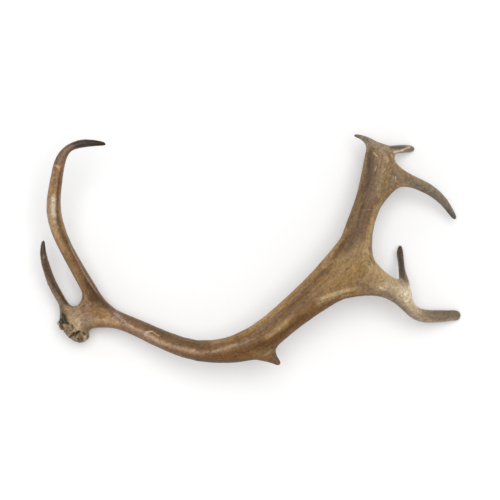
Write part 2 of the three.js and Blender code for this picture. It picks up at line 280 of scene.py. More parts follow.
limb_facts = {name: along_limb(points, name) for name in LIMBS}
weights = {name: np.exp(-2.2 * np.clip(facts[0], 0, 4) ** 2) for name, facts in limb_facts.items()}
weight_sum = sum(weights.values()) + 1e-12


def blended(values):
    """One field from a field for each limb, so that it runs on through the forks."""
    return sum(weights[name] * values[name] for name in LIMBS) / weight_sum


# Streaks that follow each limb: (how many lie round it, how long they are in mm).
STREAKS = {
    "beam": (5.0, 55), "brow": (2.2, 30), "bez": (3.0, 40), "spur": (2.5, 25),
    "lower": (3.6, 40), "curved": (2.6, 30), "short": (2.0, 20), "inner": (2.0, 25),
}


def streaks(fineness, offset):
    """Noise drawn out along every limb."""
    values = {}
    for name, (count, size) in STREAKS.items():
        _, length, side, _ = limb_facts[name]
        around = side * count * fineness
        place = np.stack([length / size * fineness ** 0.5, around[:, 0], around[:, 1]], 1)
        values[name] = noise(place + offset)
    return blended(values)


# == Relief ==

grid = to_grid(points)
seen = step(-0.05, 0.35, normals[:, 2])


def path_reach(path, radius, taper=0.0):
    """Share of a drawn stroke at each point: 1 on the stroke, 0 outside its radius."""
    path = np.array(path, float) + HALF_SQUARE
    lengths = np.linalg.norm(np.diff(path, axis=0), axis=1)
    total = lengths.sum()
    low = path.min(0) - radius * 1.7
    high = path.max(0) + radius * 1.7
    near = np.flatnonzero(((grid > low) & (grid < high)).all(1))
    best = np.full(len(near), 1e9)
    place = np.zeros(len(near))
    run = 0.0
    for a, b, size in zip(path[:-1], path[1:], lengths):
        t = np.clip((grid[near] - a) @ (b - a) / size ** 2, 0, 1)
        d = np.linalg.norm(grid[near] - a - t[:, None] * (b - a), axis=1)
        nearer = d < best
        best[nearer] = d[nearer]
        place[nearer] = (run + t[nearer] * size) / total
        run += size
    share = np.exp(-2.2 * (best * (1 + 0.40 * ragged[near]) / radius) ** 2)
    share *= 1 - step(1.0, 1.6, best / radius)
    if taper:
        share *= step(0, taper, place) * step(0, taper, 1 - place)
    result = np.zeros(len(grid))
    result[near] = share
    return result


ragged = 0.8 * noise(points / 9) + 0.7 * noise(points / 3.6 + 7) + 0.5 * noise(points / 1.7)

# Height in mm, radius in grid squares, path. These are the long furrows and ridges.
RELIEF = [
    (0.9, 4.0, [(128, 327), (150, 336), (170, 345.5), (190, 352), (210, 352), (230, 346),
                (242, 341)]),
    (-0.8, 4.2, [(243, 341), (258, 332.5), (265, 326.5), (272, 320), (280, 313), (289, 305),
                 (298, 296.5), (307, 287), (316, 277.5), (325, 266.5), (334, 254), (342, 241),
                 (347, 230)]),
    (0.5, 3.2, [(250, 333), (262, 324), (271, 315.5), (280, 307), (289, 298), (298, 289),
                (308, 278.5), (318, 267.5), (328, 255.5), (336, 244)]),
    (0.7, 3.5, [(262, 340), (272, 332), (284, 322), (296, 313)]),
    (0.8, 3.5, [(312, 303), (326, 295.5), (340, 291.5), (354, 287.5)]),
    (-0.8, 4.5, [(243, 351), (262, 345), (280, 335), (296, 323)]),
    (-0.7, 2.0, [(70, 245), (78, 259), (86, 273), (93, 285), (99, 295)]),
    (0.6, 1.6, [(73, 245.5), (80, 258), (88, 272.5), (96, 285.5)]),
    (-0.8, 2.2, [(58, 228), (57, 210), (57.5, 192), (60, 174)]),
    (0.5, 3.0, [(52, 228), (51.5, 208), (54, 184)]),
    (-0.7, 1.8, [(62, 296), (54, 280), (48.5, 264), (46, 252)]),
    (-0.4, 4.0, [(365, 190), (367.5, 174), (369, 160), (369, 148)]),
    (-0.6, 2.2, [(356, 228), (359, 214), (363, 201)]),
    (0.6, 3.0, [(372, 234), (372, 222), (375, 211)]),
    (0.6, 2.6, [(352, 225), (355, 212), (358, 200), (361, 186)]),
    (-0.6, 2.0, [(404, 178.5), (416, 184), (428, 190), (438, 198)]),
    (-0.6, 2.4, [(398, 287), (400, 296), (405, 304)]),
    (-0.9, 3.0, [(121, 316), (128, 322), (136, 327)]),
]
height = np.zeros(len(points))
for lift, radius, path in RELIEF:
    height += lift * path_reach(path, radius, 0.12) * seen
flat_part = np.exp(-((grid[:, 0] - 335) ** 2 + (grid[:, 1] - 270) ** 2) / 62 ** 2)
rough_side = path_reach([(64, 315), (65, 319), (66, 324)], 6.5) * seen
crown = np.maximum(crown, 0.75 * rough_side)
solid = 1 - crown
broad = streaks(1.0, 3.1)
narrow = streaks(2.4, 8.7)
off_tips = blended({name: step(0, 25, facts[3] - facts[1]) for name, facts in limb_facts.items()})
height += solid * off_tips * (0.22 * broad + 0.07 * narrow) * (1 - 0.7 * flat_part)
height += solid * (
    0.25 * noise(points / 15) + 0.08 * noise(points / 5.5) + 0.035 * noise(points / 2.3)
)

# The crown: knobs, and the open pits between them.
knob, knob_number = cells(points / 5.6)
pore, _ = cells(points / 2.7)
height += crown * (1.5 * (0.5 - knob) + 0.7 * (0.45 - pore) + 0.5 * noise(points / 3.2))

# Knobs and dents at single places: lift in mm, radius in mm, place.
KNOBS = [
    (2.4, 5.0, (87, 337, 26)),
    (-3.8, 4.5, (90, 331, 27)),
    (1.6, 4.0, (58, 322.5, 28)),
    (-3.4, 7.0, (58.5, 330.5, 24)),
    (-3.2, 5.5, (57.5, 327.5, 33)),
    (-1.6, 4.0, (66, 337.5, 27)),
    (1.0, 4.0, (80, 341.5, 26)),
    (1.6, 4.5, (74, 341.5, 27)),
    (2.2, 9.0, (410, 289, 62)),
    (1.2, 6.0, (409.5, 282, 58)),
    (1.9, 9.0, (455.5, 310.5, 9)),
    (1.2, 7.0, (456, 320, 7)),
]
for lift, radius, place in KNOBS:
    distance = np.linalg.norm(points - spot(*place), axis=1)
    height += lift * np.exp(-(distance / radius) ** 2)
PITS = [
    (1.0, 1.8, [(62.5, 314), (64.5, 315.5)]),
    (1.2, 2.0, [(64, 318), (65.5, 321)]),
    (1.4, 1.6, [(61.5, 319.5), (62.5, 322)]),
    (1.2, 1.4, [(66, 322), (67.5, 323)]),
    (0.9, 1.6, [(71.8, 325), (72.3, 326.5)]),
    (2.2, 1.2, [(68.5, 337.5), (71, 335.5), (74, 333.5)]),
    (2.6, 2.5, [(73, 334), (75, 333)]),
    (1.8, 1.6, [(76, 332.5), (79, 331)]),
    (1.6, 1.2, [(77.5, 338), (78.5, 340)]),
    (1.6, 1.2, [(81.5, 338.5), (82, 339.5)]),
    (1.2, 1.4, [(83.5, 332.5), (84.5, 334.5)]),
    (0.4, 1.2, [(87, 335.5), (87.3, 337)]),
]
pits = np.zeros(len(points))
for depth, radius, path in PITS:
    share = path_reach(path, radius)
    height -= depth * share * seen
    pits = np.maximum(pits, share * seen)
pit_bend = np.stack([noise(points / 3 + k) for k in (15, 25, 35)], 1)
pit_gap, pit_number = cells((points + 1.3 * pit_bend) / 4.2)
small_pits = crown * (1 - step(0.16, 0.42, pit_gap)) * (pit_number > 0.5)
height -= 1.1 * small_pits

points = points + normals * (height * floor_contact)[:, None]
points[:, 0] = np.minimum(points[:, 0], RIGHT_LIMIT)
points[:, 2] = np.clip(points[:, 2], 0, TOP_LIMIT)
fine.vertices.foreach_set("co", (points / MM).astype(np.float32).ravel())
fine.update()
normals = normals_of(fine)

# Hollow places are positive and edges negative, in mm.
hollow = ((neighbour_mean(points, edges) - points) * normals).sum(1)[:, None]
near_hollow = neighbour_mean(hollow, edges)[:, 0]
wide = points
for _ in range(6):
    wide = neighbour_mean(wide, edges)
wide_hollow = ((wide - points) * normals).sum(1)

# == Colour ==


def linear(code):
    """A written colour as linear red, green and blue."""
    rgb = np.array([int(code[i:i + 2], 16) for i in (1, 3, 5)]) / 255
    return np.where(rgb <= 0.04045, rgb / 12.92, ((rgb + 0.055) / 1.055) ** 2.4)


PAINT_GAIN = np.array([0.755, 0.71, 0.63])

# The main colours along each limb, one for each station of its middle line.
HUES = {
    "beam": ["#8a755e", "#8c7760", "#9a8066", "#8b6b48", "#8e6c4b", "#8f7054", "#8a6a4c",
             "#886748", "#856548", "#84633f", "#86653f", "#88663f", "#8c6b44", "#957650",
             "#917550", "#7b6044", "#75593d", "#7f674b", "#8a7154", "#8f7b62", "#8a7866",
             "#877667"],
    "brow": ["#8c7458", "#806a56", "#77624e", "#6d5846", "#6a5848", "#6e6054"],
    "bez": ["#8b6b48", "#7a5c3e", "#80613f", "#8b6d4a", "#977853", "#a5886a", "#93734f",
            "#84664a", "#86705a", "#64544a", "#4f443a", "#453930"],
    "spur": ["#725434", "#725a43", "#6b5540"],
    "lower": ["#95774f", "#9f835a", "#b59c7c", "#bda88c", "#ab9881", "#8c7a66", "#82715d",
              "#7a6c5a"],
    "curved": ["#8c7454", "#8a7358", "#82715f", "#7d6f61", "#746759", "#6e6459"],
    "short": ["#968166", "#948069", "#8f7f6e"],
    # The inner tine's dark hues are partly its own colour and partly painted shade, as it lies
    # under the branch.
    "inner": ["#8f7e68", "#625240", "#5a4a39", "#554636"],
}


def hue_along(name):
    """The main colour of a limb at each point, by its place along the limb."""
    spots = np.array([spot(*station[:3]) for station in LIMBS[name]])
    runs = np.concatenate([[0], np.cumsum(np.linalg.norm(np.diff(spots, axis=0), axis=1))])
    tints = np.array([linear(code) for code in HUES[name]])
    length = limb_facts[name][1]
    return np.stack([np.interp(length, runs, tints[:, k]) for k in range(3)], 1)


paint = sum(weights[name][:, None] * hue_along(name) for name in LIMBS) / weight_sum[:, None]

# Washes on the side that is seen: colour, strength, radius, path.
WASHES = [
    # beam: olive upper flank, darker partly by its own colour and partly by painted shade on the
    # side turned from the light
    ("#75593c", 0.70, 6.0, [(126, 315), (146, 325), (166, 334), (186, 341), (206, 344)]),
    ("#6f563a", 0.45, 4.0, [(150, 330), (170, 339), (190, 345), (208, 347)]),
    ("#947450", 0.60, 4.5, [(214, 341), (232, 337), (248, 330)]),
    # beam: pale crest, a painted highlight along the ridge
    ("#a7907b", 0.75, 2.8, [(113, 318), (122, 323), (135, 330.5), (147, 337), (160, 343.5)]),
    ("#b39b86", 0.75, 2.4, [(124, 322), (133, 327), (142, 332), (152, 338), (163, 344.5),
                            (176, 349)]),
    ("#c6af9b", 0.80, 2.3, [(145, 334), (152, 337.5), (161, 342), (171, 346), (183, 349),
                            (194, 350.5)]),
    ("#695037", 0.55, 3.6, [(134, 317), (150, 325), (166, 333), (182, 338)]),
    ("#ab927a", 0.75, 2.6, [(160, 343.5), (172, 347.5), (184, 350), (195, 352)]),
    ("#b79f88", 0.50, 1.8, [(178, 349), (188, 351), (198, 352.5)]),
    ("#9d8676", 0.75, 2.8, [(200, 353), (212, 352.5), (224, 349), (236, 344.5), (250, 338.5)]),
    ("#b09988", 0.60, 1.8, [(212, 351.5), (222, 348.5), (230, 345.5), (236, 343.5)]),
    ("#9b7b5d", 0.60, 1.6, [(176, 352), (194, 355.5), (212, 355.5), (226, 352)]),
    ("#6c5439", 0.30, 2.4, [(190, 347), (202, 348.5), (214, 346.5), (226, 342.5)]),
    # beam: reddish lower flank and its dark edge
    ("#8d6948", 0.60, 4.0, [(122, 328), (142, 337), (160, 345.5), (176, 352)]),
    ("#7d5a38", 0.65, 4.5, [(168, 349.5), (186, 355), (204, 357), (226, 354), (244, 349)]),
    ("#5f4122", 0.75, 3.4, [(186, 358.5), (202, 361.5), (226, 362), (250, 360.5)]),
    ("#422b13", 0.70, 2.6, [(192, 360), (212, 363), (232, 362.5), (252, 361)]),
    ("#4c3216", 0.40, 3.4, [(182, 355.5), (198, 360), (220, 361.5), (244, 360), (262, 358.5)]),
    ("#a08b77", 0.50, 2.2, [(116, 312.5), (122, 316.5)]),
    ("#a5855e", 0.50, 2.8, [(212, 342.5), (226, 338.5), (240, 333.5)]),
    ("#664d33", 0.60, 2.8, [(146, 326), (158, 331), (170, 336)]),
    ("#64451f", 0.65, 4.0, [(232, 351), (246, 346.5), (262, 342)]),
    ("#6f4d2a", 0.60, 4.0, [(206, 357), (228, 357), (250, 354)]),
    ("#6d4c2c", 0.50, 2.5, [(112, 328), (132, 335), (152, 344), (172, 353)]),
    # palm: furrow and the golden rim outside it, the rim lighter partly by its own colour and
    # partly by painted light
    ("#a98862", 0.75, 3.6, [(244, 333), (258, 325), (267, 317.5), (276, 308.5), (285, 300),
                            (295, 290.5)]),
    ("#a3845d", 0.70, 3.4, [(295, 290.5), (305, 280.5), (315, 270), (325, 259), (334, 248)]),
    ("#b5956f", 0.75, 2.6, [(250, 328), (258, 322.5), (265, 316.5), (273, 308.5), (282, 299.5),
                            (290, 291), (302, 279)]),
    ("#aa8a66", 0.60, 2.6, [(270, 318), (277, 312), (283, 306)]),
    ("#806b5f", 0.80, 3.8, [(240, 342), (250, 337), (259, 331), (267, 324.5), (274, 318)]),
    ("#7b6454", 0.75, 4.4, [(272, 321), (279, 315.5), (288, 307), (297, 298.5), (306, 289),
                            (314, 281)]),
    ("#715236", 0.75, 4.2, [(282, 315), (291, 308), (299, 301), (307, 292)]),
    ("#7d5f3d", 0.65, 4.5, [(296, 310), (304, 301), (312, 291)]),
    ("#75593d", 0.80, 2.8, [(314, 280), (321, 273), (328, 267.5), (331, 263)]),
    ("#5f4733", 0.65, 2.4, [(321, 272), (325, 273.5), (328, 271)]),
    ("#b09670", 0.55, 2.2, [(323, 266.5), (329, 262), (335, 259)]),
    ("#765b3f", 0.50, 2.8, [(329, 259), (334, 257), (338, 252), (342, 246)]),
    # palm: pale streaks
    ("#ad9270", 0.80, 2.5, [(267, 336.5), (275, 331), (282, 325.5), (288, 320)]),
    ("#b8a080", 0.55, 2.0, [(277, 330), (283, 325), (287, 321)]),
    ("#ad9877", 0.75, 3.8, [(318, 303), (326, 299), (335, 295), (346, 292)]),
    ("#c2ae90", 0.62, 2.8, [(321, 298.5), (328, 295.5), (336, 292.3), (345, 290)]),
    ("#b7a27f", 0.75, 1.6, [(342, 290.5), (350, 288.5), (360, 287.5)]),
    ("#74582f", 0.65, 2.0, [(357, 282), (364, 286), (372, 291)]),
    ("#7d6038", 0.55, 1.6, [(338, 296), (350, 292), (362, 291)]),
    # palm: golden middle, and the lighter part towards the branches
    ("#977849", 0.70, 9.0, [(328, 284), (338, 278), (350, 270)]),
    ("#9d8253", 0.60, 8.0, [(344, 264), (356, 266), (366, 272)]),
    ("#a98f68", 0.50, 3.0, [(340, 259), (350, 253), (362, 250)]),
    ("#b49c74", 0.75, 5.5, [(366, 246), (369, 258), (377, 267), (389, 275), (398, 281)]),
    ("#8b6c43", 0.55, 5.0, [(316, 289), (326, 281), (334, 274)]),
    ("#a4875a", 0.45, 4.5, [(346, 281), (352, 277), (356, 270)]),
    ("#8d7049", 0.55, 4.5, [(358, 287), (366, 283), (371, 277)]),
    ("#8a6d4b", 0.50, 2.6, [(358, 284), (366, 283), (372, 286)]),
    ("#a78d62", 0.55, 4.0, [(361, 262), (366, 268)]),
    ("#84683f", 0.55, 4.2, [(362, 285), (371, 281)]),
    # palm: dark lower flank, partly its own dark brown and partly painted shade on the side turned
    # from the light
    ("#65451f", 0.55, 4.0, [(244, 352), (262, 346), (276, 339)]),
    ("#66441f", 0.75, 4.2, [(266, 345), (280, 336), (292, 325), (304, 316)]),
    ("#6b4b2e", 0.75, 4.0, [(296, 325), (310, 314), (324, 305), (338, 299.5)]),
    ("#70543a", 0.80, 2.6, [(334, 302), (350, 296.5), (366, 294.5), (382, 295.5)]),
    ("#775834", 0.65, 4.0, [(297, 311), (304, 305), (312, 300)]),
    ("#4d3316", 0.70, 2.2, [(276, 346), (282, 340), (293, 331.5), (304, 323), (317, 314),
                            (331, 305.5)]),
    ("#523c25", 0.75, 1.7, [(331, 305.5), (342, 300.5), (356, 296), (372, 295.3), (386, 298)]),
    ("#63431d", 0.40, 5.0, [(256, 348), (274, 339.5), (292, 325), (312, 309.5)]),
    ("#6d5029", 0.35, 3.6, [(288, 318), (298, 308), (306, 300)]),
    ("#8d7564", 0.50, 2.8, [(260, 328), (270, 320.5), (281, 312.5)]),
    ("#90745a", 0.35, 2.2, [(214, 346), (226, 343.5), (236, 340)]),
    ("#8a6d50", 0.35, 2.2, [(226, 350.5), (238, 347.5)]),
    ("#5a3c1c", 0.40, 2.5, [(277, 346), (274, 352)]),
    ("#7d5c36", 0.35, 3.0, [(262, 337), (268, 333)]),
    ("#70522c", 0.40, 3.0, [(293, 309), (300, 303)]),
    ("#b3936c", 0.40, 2.4, [(256, 325), (264, 319)]),
    ("#8f7867", 0.35, 2.4, [(262, 330), (270, 325)]),
    ("#8f7764", 0.40, 2.6, [(277, 316), (284, 310)]),
    ("#a08358", 0.40, 2.4, [(283, 328), (290, 321)]),
    ("#90734b", 0.50, 3.0, [(256, 356), (264, 355)]),
    # spur
    ("#93774f", 0.55, 3.4, [(254, 354), (262, 352), (270, 349)]),
    ("#6a4d2e", 0.60, 2.6, [(254, 361), (264, 361.5), (274, 363)]),
    ("#785f48", 0.60, 3.0, [(275, 351), (276, 357), (280, 363)]),
    # neck
    ("#6a5138", 0.75, 5.5, [(341, 246), (347, 240), (353, 233), (357, 224)]),
    ("#664b31", 0.55, 3.4, [(358, 236), (361, 226), (364, 216), (366, 207)]),
    ("#8e7350", 0.50, 2.2, [(354, 216), (349, 228), (343, 239)]),
    ("#664d32", 0.78, 5.4, [(346, 250), (351, 242), (356, 234), (360, 224)]),
    ("#6a5136", 0.60, 3.6, [(346, 238), (341, 247), (335, 256)]),
    ("#6b563f", 0.70, 1.0, [(368, 246), (369.5, 252)]),
    ("#6b563f", 0.60, 1.2, [(370, 257), (374, 263)]),
    ("#684e34", 0.65, 4.6, [(359, 228), (362, 215), (364, 203)]),
    ("#7a5f45", 0.60, 3.0, [(385, 193), (390, 189), (394, 186)]),
    ("#b39b73", 0.85, 3.6, [(376.5, 206), (373, 215), (370, 226), (368, 238), (366, 250)]),
    ("#b39d78", 0.70, 3.0, [(363, 256), (366, 264), (371, 270)]),
    ("#a98b63", 0.60, 1.8, [(330, 253), (336, 246), (341, 239), (346, 229)]),
    ("#b39c79", 0.50, 1.6, [(372, 220), (370, 232)]),
    ("#ab9470", 0.55, 1.8, [(363, 252), (366, 260), (371, 267)]),
    ("#7d6753", 0.60, 1.8, [(369, 246), (370, 251)]),
    ("#8e7755", 0.45, 4.0, [(352, 212), (357, 204), (360, 196)]),
    ("#9d8663", 0.60, 3.0, [(376, 212), (379, 204), (384, 196)]),
    # upper branch: dark left band, lighter middle
    ("#665446", 0.80, 5.4, [(370, 149), (369, 158), (368.5, 168), (368, 178), (366, 190)]),
    ("#5a4a3e", 0.45, 3.0, [(368, 153), (368, 163), (371, 173), (369, 183)]),
    ("#66523f", 0.55, 3.4, [(366, 178), (363, 188), (360, 198)]),
    ("#85694a", 0.50, 2.0, [(361, 184), (363.5, 172), (365, 160)]),
    ("#9d8561", 0.60, 4.2, [(383, 160), (384, 170), (383, 180), (380, 192)]),
    ("#a28a65", 0.60, 3.4, [(378, 186), (378, 196), (380, 203)]),
    ("#6c553f", 0.60, 3.6, [(373, 160), (374, 172), (371, 186), (367, 199)]),
    ("#735a41", 0.65, 2.8, [(394, 174), (398, 179)]),
    ("#725d48", 0.55, 2.0, [(406, 176), (412, 179)]),
    ("#9b7f5c", 0.60, 1.6, [(368, 143), (366.5, 152), (364, 164), (361.5, 176), (358, 190)]),
    ("#ae9677", 0.75, 4.0, [(382, 152), (386, 158), (390, 165)]),
    ("#ab9376", 0.60, 2.4, [(392, 156), (395, 162), (400, 168)]),
    ("#a68c68", 0.60, 1.6, [(384, 194), (392, 187.5), (400, 184), (406, 184.5)]),
    ("#967b55", 0.55, 4.5, [(388, 164), (389, 174), (387, 184)]),
    ("#7b6247", 0.50, 3.4, [(386, 190), (392, 186), (399, 183)]),
    ("#9a8570", 0.80, 3.6, [(373, 142), (380, 145), (389, 149)]),
    ("#a18b75", 0.50, 2.4, [(378, 144), (386, 147)]),
    ("#80715f", 0.85, 3.0, [(354, 135.5), (360, 137), (366, 140), (370, 145)]),
    ("#9a8672", 0.60, 1.8, [(366.5, 141), (366.5, 148)]),
    ("#a28a68", 0.45, 2.4, [(377, 158), (379, 163)]),
    ("#a08760", 0.45, 2.6, [(388, 170), (389, 179)]),
    ("#7a6046", 0.40, 2.4, [(383, 182), (382, 190)]),
    ("#a58c6a", 0.50, 1.6, [(398, 186), (404, 183)]),
    ("#6f563c", 0.40, 3.0, [(374, 206), (377, 200)]),
    ("#5e5142", 0.60, 1.8, [(354, 135), (358, 136)]),
    # short tine behind it, its base darkened with painted shade where it passes behind the branch
    ("#43342a", 0.95, 2.8, [(391, 147), (398, 147), (404, 146.5)]),
    ("#6b5949", 0.85, 2.6, [(402, 150), (408, 149), (413, 148.5)]),
    ("#857261", 0.50, 1.6, [(396, 152), (404, 151.5)]),
    # curved tine
    ("#9a7f5b", 0.70, 2.4, [(398, 168), (406, 173), (416, 178.5), (426, 183)]),
    ("#837361", 0.60, 2.6, [(406, 180), (418, 185.5), (428, 190), (438, 197)]),
    ("#988a7a", 0.50, 1.6, [(430, 187), (438, 191), (445, 199), (450, 206)]),
    ("#6b5d4e", 0.70, 1.8, [(412, 189), (422, 193), (432, 198), (440, 205), (446, 212)]),
    ("#584e43", 0.75, 2.2, [(446.5, 209), (450.5, 215), (454.5, 219.5)]),
    ("#8d8272", 0.50, 1.2, [(449, 204), (453, 211)]),
    ("#998a78", 0.40, 2.0, [(430, 190), (438, 195)]),
    # lower branch
    ("#bda681", 0.70, 4.0, [(376, 270), (386, 275), (396, 280)]),
    ("#ab9679", 0.60, 4.0, [(372, 284), (384, 287), (394, 291)]),
    ("#c8b7a0", 0.75, 4.6, [(386, 283), (394, 287), (401, 291)]),
    ("#e6dac4", 0.90, 3.6, [(404, 289), (406, 293), (407.5, 299)]),
    ("#eadfcb", 0.85, 2.0, [(408.5, 286), (409.5, 294), (411, 301), (415, 306.5)]),
    ("#a39280", 0.75, 2.0, [(402, 283), (405, 283), (408, 283)]),
    ("#a98c6c", 0.60, 1.0, [(404.5, 268), (406, 274), (408, 279)]),
    ("#c6b498", 0.75, 3.6, [(399, 290), (404, 299), (410, 306), (416, 312)]),
    ("#c4a981", 0.60, 2.4, [(411, 300), (415, 307), (421, 312)]),
    ("#84766a", 0.80, 3.6, [(384, 297), (394, 301.5), (402, 308), (410, 315), (416, 319)]),
    ("#6f6255", 0.65, 2.0, [(370, 295), (382, 297), (392, 301.5), (400, 307.5)]),
    ("#6a5f50", 0.70, 2.2, [(430, 311.5), (442, 310.8), (456, 311)]),
    ("#b39d86", 0.50, 2.0, [(412, 313), (420, 317.5), (430, 320)]),
    ("#9a8a78", 0.65, 3.0, [(386, 292), (395, 297), (404, 304)]),
    ("#8b7966", 0.65, 3.2, [(366, 289.5), (378, 292.5), (391, 296)]),
    ("#d8c9b8", 0.80, 1.8, [(379, 287), (384, 289)]),
    ("#7a6c5a", 0.50, 4.0, [(426, 316), (440, 315), (456, 315)]),
    ("#a18d76", 0.65, 1.8, [(417, 319.5), (428, 321), (442, 321)]),
    ("#8f7f6b", 0.40, 2.0, [(424, 311.5), (438, 311.5), (452, 311.5)]),
    ("#5f5445", 0.60, 1.8, [(434, 312), (446, 311.5), (456, 311.5)]),
    ("#a3937f", 0.60, 1.5, [(446, 319.5), (456, 318.5)]),
    ("#b5a28c", 0.50, 1.4, [(426, 317.5), (430, 320)]),
    ("#b39d84", 0.40, 2.0, [(414, 312), (419, 317)]),
    ("#ab9168", 0.40, 3.0, [(375, 277), (382, 280)]),
    ("#a8957c", 0.40, 2.4, [(385, 283), (390, 285)]),
    # inner tine and its dark foot, darkened with painted shade where the tine comes out from under
    # the branch
    ("#4f4840", 0.85, 2.6, [(401, 266), (401.3, 272), (402, 276.5)]),
    ("#4b453e", 0.80, 2.4, [(399, 248), (399.5, 258), (401, 270)]),
    ("#b3a48d", 0.85, 2.2, [(400, 283.5), (404, 284), (408, 284)]),
    ("#a0866a", 0.75, 1.3, [(405.5, 274), (407.5, 279.5)]),
    ("#5a4d41", 0.75, 1.6, [(400.5, 276.5), (403, 278.5)]),
    ("#d2c3a6", 0.60, 3.4, [(400.5, 288), (403, 295), (407, 302)]),
    ("#85745f", 0.60, 3.0, [(384, 292.5), (391, 296.5), (398, 302), (405, 308.5)]),
    ("#b5a48c", 0.35, 2.4, [(393, 290), (397, 296)]),
    # brow tine
    ("#463423", 0.85, 2.5, [(65.5, 303), (60.5, 295), (53.5, 285), (49, 276), (45.5, 267),
                            (44.5, 258)]),
    ("#75604b", 0.55, 1.1, [(62, 291), (56, 280), (52, 270), (49, 259)]),
    ("#8c7966", 0.65, 1.8, [(59.5, 304), (53, 292.5), (47, 280), (43.5, 271)]),
    ("#64523f", 0.70, 1.6, [(41.5, 264), (41, 254), (42, 244)]),
    ("#8f7a60", 0.60, 1.1, [(42, 256), (44, 257)]),
    ("#3b2d22", 0.85, 3.4, [(42.5, 253), (43.5, 240)]),
    ("#5f4e3d", 0.60, 1.8, [(42.5, 262), (45, 272), (48, 279)]),
    ("#4c351d", 0.35, 3.0, [(87, 283), (92, 292)]),
    # long forward tine: golden left half and dark right half, partly their own colours and partly
    # painted light on the left and painted shade on the right; pale line near the right edge
    ("#8f6e46", 0.70, 3.6, [(57, 236), (64, 250), (73, 268), (83, 287)]),
    ("#65492d", 0.80, 2.6, [(63, 236), (69, 248), (77, 263), (85, 279)]),
    ("#7a5630", 0.55, 1.8, [(72, 256), (76, 263), (80, 270)]),
    ("#513921", 0.80, 3.2, [(86, 281), (91, 289), (97, 297)]),
    ("#4d371f", 0.60, 4.0, [(90, 286), (96, 294), (102, 302)]),
    ("#7b6550", 0.70, 1.6, [(68, 238), (77, 254), (87, 273), (98, 290)]),
    ("#b0a294", 0.65, 0.7, [(68.5, 243), (72, 250.5), (78, 262), (84, 273.5), (90.5, 284),
                            (96.5, 292)]),
    ("#61472f", 0.75, 3.2, [(96, 294), (103, 302.5), (111, 309)]),
    ("#b3946f", 0.75, 2.6, [(52, 226), (56, 234), (60, 243), (63, 250)]),
    ("#98785a", 0.65, 2.0, [(62, 250), (67, 259), (73, 270)]),
    ("#a28261", 0.65, 2.0, [(73, 270), (79, 283), (83, 293)]),
    ("#b29472", 0.70, 1.6, [(84, 294), (86, 300), (90, 303)]),
    ("#ad8d68", 0.70, 2.4, [(53, 231), (49.5, 221), (48, 210), (48.5, 198), (50.5, 184),
                            (53, 172)]),
    # A whitish patch on the outer side of the bend: partly worn pale bone, partly a painted
    # highlight.
    ("#d9d1be", 0.95, 2.7, [(53, 215), (52.9, 207), (52.9, 197)]),
    ("#bfb098", 0.75, 1.6, [(54, 224), (53, 216), (53.5, 194)]),
    ("#bfa47e", 0.50, 2.8, [(50.5, 217), (52.5, 227), (57, 237)]),
    ("#5e452d", 0.50, 1.5, [(58.2, 213), (59.8, 226)]),
    ("#6b5037", 0.85, 2.3, [(61.5, 234), (58, 222), (56.8, 210), (57.3, 196), (58.6, 182),
                            (60, 170)]),
    ("#8e6e4f", 0.50, 3.0, [(54, 184), (56, 172), (57, 160)]),
    ("#cbae7a", 0.90, 1.5, [(54.5, 164.5), (58.5, 166.5)]),
    ("#c5a97c", 0.75, 1.0, [(58.5, 169), (59, 170)]),
    ("#9b8b7b", 0.60, 1.0, [(57, 156), (59.5, 159)]),
    ("#6b543e", 0.75, 1.8, [(54.5, 164), (57, 156), (61, 149.5), (67, 144)]),
    ("#9c8061", 0.55, 1.6, [(64, 150.5), (68, 147.5), (71.5, 146)]),
    ("#68574a", 0.60, 2.0, [(63, 158), (68, 151), (75, 147.5)]),
    ("#372c24", 0.80, 3.6, [(75, 144), (88, 142), (104, 143.5)]),
    ("#2a201a", 0.70, 1.8, [(77, 143.5), (86, 142), (98, 142.5)]),
    # A paler line along the top edge of the dark tip: a painted sheen.
    ("#564940", 0.50, 1.0, [(76, 141.5), (86, 139.3), (95, 140)]),
    # hub: golden middle, pinkish grey to its left, pale strip up to the crotch
    ("#8f6b3b", 0.70, 6.0, [(94, 309), (101, 311), (108, 314)]),
    ("#9a7442", 0.50, 2.2, [(97, 308), (102, 310), (104, 313)]),
    ("#947d66", 0.65, 4.0, [(86, 302), (84, 312), (88, 319)]),
    ("#a98d6e", 0.70, 3.0, [(86, 297), (87.5, 302), (86, 307)]),
    ("#5c442b", 0.75, 4.4, [(91, 295), (98, 301), (105, 305), (111, 308.5)]),
    ("#bd9d79", 0.90, 4.0, [(90, 320), (98, 320.5), (108, 320), (117, 322.5)]),
    ("#a98d6e", 0.75, 2.2, [(66, 306), (73, 308.5), (80, 306.5), (83, 301)]),
    ("#77573a", 0.75, 1.8, [(88, 329), (96, 327), (108, 327), (120, 329), (130, 332.5)]),
    ("#8f7d70", 0.60, 2.2, [(84, 321), (92, 320)]),
    ("#8a7264", 0.75, 2.6, [(109, 309), (114, 315), (122, 322)]),
    ("#a2918a", 0.85, 1.8, [(114, 313), (118, 316), (123, 319.5)]),
    ("#59473d", 0.75, 0.9, [(110.5, 311.5), (113, 314.5)]),
    ("#604d42", 0.75, 0.8, [(116.5, 317.5), (119, 319.5)]),
    ("#65534a", 0.70, 0.9, [(121.5, 321.5), (124, 323)]),
    ("#6f5337", 0.60, 1.8, [(118, 311.5), (126, 315.5), (134, 319)]),
    ("#c9ae8a", 0.60, 0.6, [(107.5, 313), (109, 313)]),
    # crown: pale speckled flank, dark pitted left side, olive rim, pale knobs
    ("#b09878", 0.80, 5.5, [(73, 313), (76, 320), (79, 327)]),
    ("#d6c2a5", 0.50, 2.6, [(76, 319), (79, 324), (78, 328)]),
    ("#ab9078", 0.60, 3.5, [(69, 310), (77, 310), (84, 307)]),
    ("#c4ae90", 0.50, 2.0, [(69, 316), (71, 320)]),
    ("#a58d70", 0.60, 3.6, [(70, 316), (73, 324), (80, 331)]),
